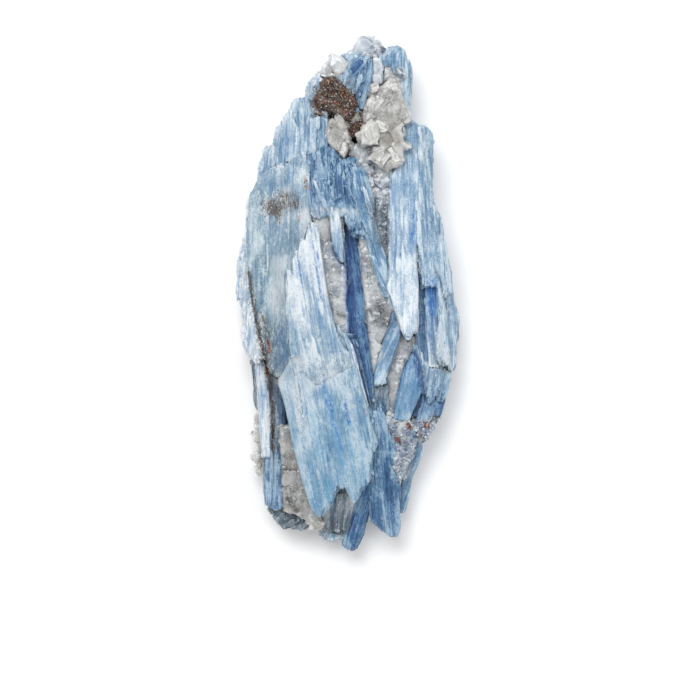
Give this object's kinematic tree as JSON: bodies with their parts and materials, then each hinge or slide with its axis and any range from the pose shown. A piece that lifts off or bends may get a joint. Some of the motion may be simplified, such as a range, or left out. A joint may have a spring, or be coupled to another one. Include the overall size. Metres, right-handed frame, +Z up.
{
  "type": "kyanite blade cluster",
  "caption": "Natural cluster of flat blue kyanite blades lying side by side, with cloudy quartz lumps and patches of garnet and mica crust.",
  "frame": {"origin": "centre of the cluster's footprint, on the surface it lies on", "axes": "+Y along the blades towards the narrow quartz head, +X across the blades, +Z up from the surface through the broad front blade"},
  "size_m": [0.0535, 0.1265, 0.0242],
  "materials": {
    "sky": "pale sky-blue kyanite, satin cleavage faces with a pearly sheen",
    "pale": "bleached white-blue kyanite, satin, streaked along the blade",
    "steel": "steel-blue kyanite, satin, streaked along the blade",
    "deep": "deep royal-blue kyanite, glassy on the cleavage",
    "slate": "dark grey-blue kyanite, rough broken faces",
    "quartz": "cloudy grey-beige quartz, glassy broken faces",
    "mica": "silver-grey mica and fibrous kyanite, sparkling",
    "garnet": "brown mica crust with orange-red garnet grains"
  },
  "bodies": {
    "root": {"front_white_sheet": "pale", "front_broad_blade": "sky", "front_edge_lath": "steel", "right_white_blade": "pale", "diagonal_lath": "steel", "quartz_head_knob": "quartz", "quartz_head_lump": "quartz", "quartz_neck_lump": "quartz", "garnet_crust": "garnet", "head_blue_lath": "steel", "quartz_head_slab": "quartz", "quartz_head_grey": "quartz", "quartz_peak": "quartz", "quartz_head_left": "quartz", "head_blue_blade": "deep", "head_right_blade": "steel", "head_shoulder": "mica", "centre_white_lath": "pale", "upper_blue_blade": "steel", "upper_inner_laths": "steel", "upper_middle_laths": "sky", "upper_outer_laths": "steel", "upper_edge_laths": "pale", "grey_seam": "mica", "left_broad_blade": "sky", "left_flank_blade": "pale", "left_pale_lath": "pale", "left_slate_lath": "slate", "quartz_left_lump": "quartz", "lower_left_blade": "deep", "lower_left_foot": "slate", "quartz_lower_left": "quartz", "bottom_spike_blade": "deep", "bottom_grey_blade": "slate", "bottom_knot": "deep", "lower_right_blade": "steel", "pointed_blue_blade": "deep", "quartz_lower_right": "quartz", "right_hem_lath": "deep", "slanted_lath": "sky", "right_deep_blue_lath": "deep", "right_slate_lath": "slate", "right_back_blade": "sky", "right_outer_blade": "pale", "right_lower_blade": "steel", "right_foot_blade": "deep", "shaded_blade": "deep", "steel_lath": "steel", "quartz_centre_left": "quartz", "central_deep_blue_blade": "deep", "quartz_centre_right": "quartz", "quartz_pocket": "quartz", "inner_blade": "steel", "back_blade_centre": "steel", "back_blade_left": "sky", "back_blade_right": "steel"}
  },
  "joints": []
}
